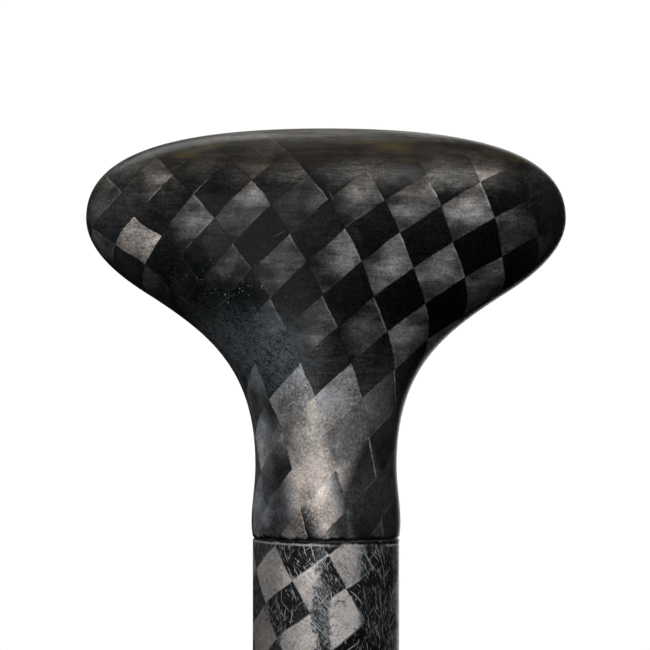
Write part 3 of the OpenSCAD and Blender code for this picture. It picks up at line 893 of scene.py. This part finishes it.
def carbon_shaft():
    """The shaft's cloth: light and dark tows, rubbed through by grit and scratched along its length."""
    g = Graph("shaft_carbon")
    c = Cloth(g, grain=(2.2, 3.0, 0.8), mottle=(0.6, 4.0, 0.75), patch=(0.085, 2.0))
    r1, r2, r3 = c.chance
    u, v = c.u, c.v
    # the light tows carry the painted sheen bands and the painted slope
    light = g.mul(g.mix(r1, 0.24, 0.56), g.add(0.7, g.mul(c.painted_sheen, 0.6)), g.add(1.0, g.mul(c.slope, 1.2)))
    dark = g.mul(g.mix(r2, 0.006, 0.020), g.swing(c.brush, 1.6))
    shaded = g.mul(g.ramp(u, 6.0, 12.0), g.ramp(u, 21.0, 16.0))
    round_back = g.band(u, 0.0, 16.0, 22.0)
    # painted highlight: one set of tows is painted bright down the middle of the front, the other from the
    # left of it round the back
    ragged = g.uneven(u, c.mottle, 6.0)
    middle = g.mul(g.ramp(ragged, -1.2, 0.8), g.ramp(ragged, 8.5, 5.5))
    lit = g.mix(c.odd, middle, g.most(g.ramp(ragged, -0.6, -2.8), g.ramp(ragged, 15.5, 18.5)))
    tone = g.mul(g.mix(lit, dark, light), g.ramp(c.border, 0.0, 0.04, 0.65, 1.0))
    # a painted highlight along one edge of each tow, weaker towards the right
    painted_edge_lines = g.most(g.mul(c.odd, g.ramp(c.in_a, 0.045, 0.015)), g.mul(c.even, g.ramp(c.in_a, 0.958, 0.985)))
    tone = g.add(tone, g.mul(painted_edge_lines, g.ramp(r3, 0.0, 0.3), g.ramp(u, 5.0, 8.0, 0.22, 0.06)))
    # painted light and shade: brightest across the middle of the front, darker towards both sides, and
    # lighter again round the back
    painted_falloff = g.mul(g.ramp(u, -8.0, -11.0, 1.4, 0.75), g.ramp(u, 5.0, 14.0, 1.0, 0.50))
    painted_falloff = g.mix(round_back, painted_falloff, 1.2)
    tone = g.mul(tone, g.swing(c.mottle, 0.9), g.swing(c.grain, 1.3), painted_falloff)
    # a painted light along the left edge of the front
    painted_edge_light = g.mul(g.ramp(u, -8.0, -14.0), g.sub(1.0, round_back), g.swing(c.grain, 1.5), 0.05)
    tone = g.least(g.add(tone, painted_edge_light), 0.75)

    # rubbed dark in patches, where grit has settled
    rubbed = g.add(g.uneven(c.patch, c.mottle, 0.7), g.mul(g.band(ragged, -1.0, 2.4, 0.8), 0.14))
    worn = g.ramp(rubbed, 0.56, 0.66)
    grit = g.ramp(g.noise(c.spot, 1.5, 4.0, 0.85), 0.46, 0.68)
    tone = g.mix(g.mul(worn, 0.90), tone, g.add(0.004, g.mul(grit, 0.30)))
    # the painted highlight is tinted warm, the rest of the shaft cool
    base = g.times(g.grey(tone), g.tint(g.mul(lit, g.sub(1.0, worn)), COOL, WARM))

    # scratches along the shaft and along both sets of tows
    where = g.ramp(g.noise(c.spot, 0.11, 3.0, 0.6), 0.40, 0.60)
    flat = g.vector(g.add(u, g.mul(g.noise(c.spot, 0.05, 1.0), 14.0)), 0.0, v)
    runs = [g.noise(g.turned(flat, turn, (7.0, 1.0, 0.7)), 1.0, 4.0, 0.85) for turn in (80, 62)]
    marks = g.most(g.ramp(runs[0], 0.52, 0.66), g.mul(g.ramp(runs[1], 0.52, 0.64), c.odd))
    rubs = g.mix(shaded, g.least(g.mul(painted_falloff, 0.50), 0.85), 0.42)
    base = g.tint(g.mul(marks, where, rubs), base, (0.36, 0.36, 0.37))
    strength = g.mix(shaded, g.least(g.mul(painted_falloff, 0.55), 0.85), 0.60)
    hairs = scratches(g, flat, (78, 92, 64, 55, -36), 8.0, 0.35, 0.66)
    base = g.tint(g.mul(hairs, strength), base, (0.62, 0.62, 0.63))
    nicks = scratches(g, flat, (70, 104), 1.8, 0.32, 0.64)
    base = g.tint(g.mul(nicks, strength), base, (0.60, 0.61, 0.62))
    for seam in (0.0, -SHAFT_LENGTH / MM):
        base = seam_adhesive(g, c, base, seam)
    rough = g.uneven(g.add(0.46, g.mul(marks, 0.15)), c.grain, 0.4)
    height = g.add(g.mul(c.grain, 0.6), g.mul(marks, -0.5), g.mul(hairs, -0.8))
    return g.finish(base, rough, g.bump(height, 0.5, 0.00006), Metallic=0.45, Specular_IOR_Level=0.10,
                    Specular_Tint=DARK_EDGES, Coat_Weight=0.15, Coat_Roughness=0.25)


# ---------------------------------------------------------------- the blade's cloth
def carbon_blade():
    """The blade's cloth: a plain dark check under a clear coat, scuffed towards the tip."""
    g = Graph("blade_carbon")
    c = Cloth(g, grain=(2.4, 2.0, 0.7), mottle=(0.25, 4.0, 0.6), patch=(0.020, 2.0))
    r1, r2, r3 = c.chance
    u, v = c.u, c.v
    # the light tows carry the painted sheen bands and the painted slope
    light = g.mul(g.mix(r1, 0.060, 0.125), g.add(0.7, g.mul(c.painted_sheen, 0.6)), g.swing(c.brush, 0.4),
                  g.add(1.0, c.slope))
    dark = g.mul(g.mix(r2, 0.006, 0.020), g.swing(c.brush, 0.8))
    dark = g.mix(g.ramp(c.patch, 0.52, 0.68), dark, g.mul(light, 0.5))
    tone = g.mul(g.mix(c.odd, light, dark), g.ramp(c.border, 0.0, 0.04, 0.6, 1.0))
    # a painted highlight along one edge of some light tows
    tone = g.add(tone, g.mul(c.even, g.ramp(c.in_b, 0.955, 0.985), g.ramp(r3, 0.4, 0.6), 0.10))
    tone = g.mul(tone, g.swing(c.mottle, 0.5), g.swing(c.grain, 0.4))
    base = g.times(g.grey(tone), g.tint(g.mul(c.even, r2), (0.94, 0.99, 1.06), (1.06, 0.99, 0.94)))
    # fine scuffs across the blade, thickest towards the tip
    scuff = g.noise(g.vector(g.mul(u, 0.9), g.mul(g.add(v, g.mul(u, 0.25)), 0.08), 2.0), 1.0, 3.0, 0.7)
    where = g.mul(g.ramp(g.noise(c.spot, 0.05, 3.0, 0.6), 0.42, 0.62), g.ramp(v, -250.0, -430.0, 0.35, 1.0))
    base = g.tint(g.mul(g.ramp(scuff, 0.62, 0.72), where, 0.35), base, (0.26, 0.26, 0.27))
    rough = g.uneven(0.48, c.grain, 0.3)
    return g.finish(base, rough, g.bump(c.height(g, 0.4, 0.3), 0.3, 0.00006), Metallic=0.45,
                    Specular_IOR_Level=0.15, Specular_Tint=DARK_EDGES, Coat_Weight=0.35, Coat_Roughness=0.18)


# ---------------------------------------------------------------- the other finishes
def mottled(name, low, high, scale, rough, **fixed):
    """A mottled finish for small and hidden parts; scale is in marks per mm."""
    g = Graph(name)
    spot = g.place()
    mottle = g.noise(spot, scale, 4.0, 0.6)
    fine = g.noise(spot, scale * 9, 2.0, 0.6)
    base = g.tint(g.ramp(mottle, 0.3, 0.7), low, high)
    pale = tuple(min(1.0, 2.2 * part + 0.02) for part in high)
    base = g.tint(g.mul(g.ramp(fine, 0.6, 0.75), 0.3), base, pale)
    return g.finish(base, g.uneven(rough, mottle, 0.2), g.bump(fine, 0.4, 0.0001), **fixed)


def dress(piece, material):
    """Gives a piece its material, whether or not it came with one."""
    if not piece.data.materials:
        piece.data.materials.append(material)
    for slot in piece.material_slots:
        slot.material = material


grip_cloth, shaft_cloth, blade_cloth = carbon_grip(), carbon_shaft(), carbon_blade()
rail_resin = mottled("rail_resin", (0.008, 0.008, 0.009), (0.026, 0.026, 0.028), 0.26, 0.38, Coat_Weight=0.3)
bead_resin = mottled("seam_resin", (0.002, 0.002, 0.003), (0.035, 0.036, 0.038), 0.5, 0.5,
                     Specular_IOR_Level=0.2)
foam = mottled("foam", (0.58, 0.52, 0.36), (0.72, 0.66, 0.48), 0.4, 0.85)
inner = mottled("inner_laminate", (0.010, 0.010, 0.011), (0.035, 0.035, 0.037), 0.35, 0.45)
for material, pieces in (
        (grip_cloth, (grip_front, grip_back)),
        (shaft_cloth, (shaft,)),
        (blade_cloth, (blade_power, blade_back)),
        (rail_resin, (rail,)),
        (bead_resin, (seam_top, seam_low)),
        (foam, [nodes[n] for n in ("grip_foam_core", "grip_spigot_plug", "blade_spigot_plug", "blade_spine",
                                   "blade_core_left", "blade_core_right")]),
        (inner, [nodes[n] for n in ("grip_spigot", "shaft_tube", "blade_spigot")])):
    for piece in pieces:
        dress(piece, material)


# ---------------------------------------------------------------- floor
FLOOR_RADIUS = 14
# how bright the background is to the camera, and the far floor with it
WHITE = 1.02
# the floor's own glow near the object, and the distances in mm over which it rises to that white
FLOOR_GLOW, GLOW_START, GLOW_END = 0.74, 900.0, 2600.0


def make_floor():
    """A round sheet of pale paper under the lowest point of the object."""
    mesh = bpy.data.meshes.new("studio_floor")
    turns = np.linspace(0, 2 * math.pi, 96, endpoint=False)
    rim = [(FLOOR_RADIUS * math.cos(a), FLOOR_RADIUS * math.sin(a), cad_low.z) for a in turns]
    mesh.from_pydata(rim, [], [list(range(len(rim)))])
    obj = bpy.data.objects.new("studio_floor", mesh)
    bpy.context.collection.objects.link(obj)
    g = Graph("floor_paper")
    mottle = g.noise(g.place(), 0.003, 3.0)
    base = g.tint(g.ramp(mottle, 0.3, 0.7), (0.26, 0.26, 0.26), (0.30, 0.30, 0.30))
    # white by itself far away, so that it runs into the background; shadows show close to the object
    reach = g.node("VectorMath", g.place(), operation="LENGTH").outputs["Value"]
    g.put(g.shader.inputs["Emission Strength"], g.ramp(reach, GLOW_START, GLOW_END, FLOOR_GLOW, WHITE))
    g.finish(base, 0.9, Emission_Color=(1, 1, 1, 1))
    mesh.materials.append(g.material)
    # the paper is seen and takes shadows, but doesn't light the underside of what stands on it
    obj.visible_diffuse = obj.visible_glossy = False


make_floor()


# ---------------------------------------------------------------- light
# how bright the room that the object reflects is, below and above
WORLD_LOW, WORLD_HIGH = 0.01, 0.30


def make_world():
    """White behind the object; what the object itself reflects is a dim room, lighter overhead."""
    world = bpy.data.worlds.new("studio")
    bpy.context.scene.world = world
    world.use_nodes = True
    tree = world.node_tree
    tree.nodes.clear()
    out = tree.nodes.new("ShaderNodeOutputWorld")
    sky = tree.nodes.new("ShaderNodeBackground")
    path = tree.nodes.new("ShaderNodeLightPath")
    where = tree.nodes.new("ShaderNodeTexCoord")
    height = tree.nodes.new("ShaderNodeSeparateXYZ")
    rise = tree.nodes.new("ShaderNodeMapRange")
    choose = tree.nodes.new("ShaderNodeMix")
    for i, v in zip((1, 2, 3, 4), (-0.25, 0.9, WORLD_LOW, WORLD_HIGH)):
        rise.inputs[i].default_value = v
    choose.inputs[3].default_value = WHITE
    for a, b in ((where.outputs["Generated"], height.inputs[0]), (height.outputs[2], rise.inputs[0]),
                 (path.outputs["Is Camera Ray"], choose.inputs[0]), (rise.outputs[0], choose.inputs[2]),
                 (choose.outputs[0], sky.inputs[1]), (sky.outputs[0], out.inputs[0])):
        tree.links.new(a, b)
    sky.inputs[0].default_value = (1, 1, 1, 1)


def softbox(name, azimuth, elevation, distance, width, height, radiance, colour=(1, 1, 1)):
    """A soft rectangular light aimed at the origin; azimuth 0 is in front of the power face, and 90 at +X."""
    az, el = math.radians(azimuth), math.radians(elevation)
    aim = Vector((0, 0, 0))
    lamp = bpy.data.lights.new(name, "AREA")
    lamp.shape = "RECTANGLE"
    lamp.size, lamp.size_y = width, height
    lamp.energy = radiance * math.pi * width * height
    lamp.color = colour
    obj = bpy.data.objects.new(name, lamp)
    bpy.context.collection.objects.link(obj)
    towards = Vector((math.sin(az) * math.cos(el), -math.cos(az) * math.cos(el), math.sin(el)))
    obj.location = aim + distance * towards
    obj.rotation_euler = (aim - obj.location).to_track_quat("-Z", "Y").to_euler()
    obj.visible_camera = False


make_world()
softbox("overhead", 0, 90, 2.6, 1.8, 1.8, 1.6, colour=(1.0, 0.96, 0.90))
for name, turn in (("front", 0), ("back", 180)):
    softbox("key_" + name, turn - 14, 8, 3.0, 1.1, 2.6, 3.4)
    softbox("shine_" + name, turn + 28, 50, 3.2, 1.8, 1.2, 7.0)


# ---------------------------------------------------------------- camera
PICTURE_HEIGHT = 128.7 * MM
CAMERA_DISTANCE = 0.8
EYE_LEVEL = 42.3 * MM
camera = bpy.data.cameras.new("camera")
camera.sensor_width = 36
camera.lens = camera.sensor_width * CAMERA_DISTANCE / PICTURE_HEIGHT
camera.clip_start, camera.clip_end = 0.05, 100
eye = bpy.data.objects.new("camera", camera)
bpy.context.collection.objects.link(eye)
eye.location = (-0.2 * MM, -CAMERA_DISTANCE, EYE_LEVEL)
eye.rotation_euler = (math.radians(90), 0, 0)
bpy.context.scene.camera = eye
bpy.context.scene.view_settings.view_transform = "Standard"
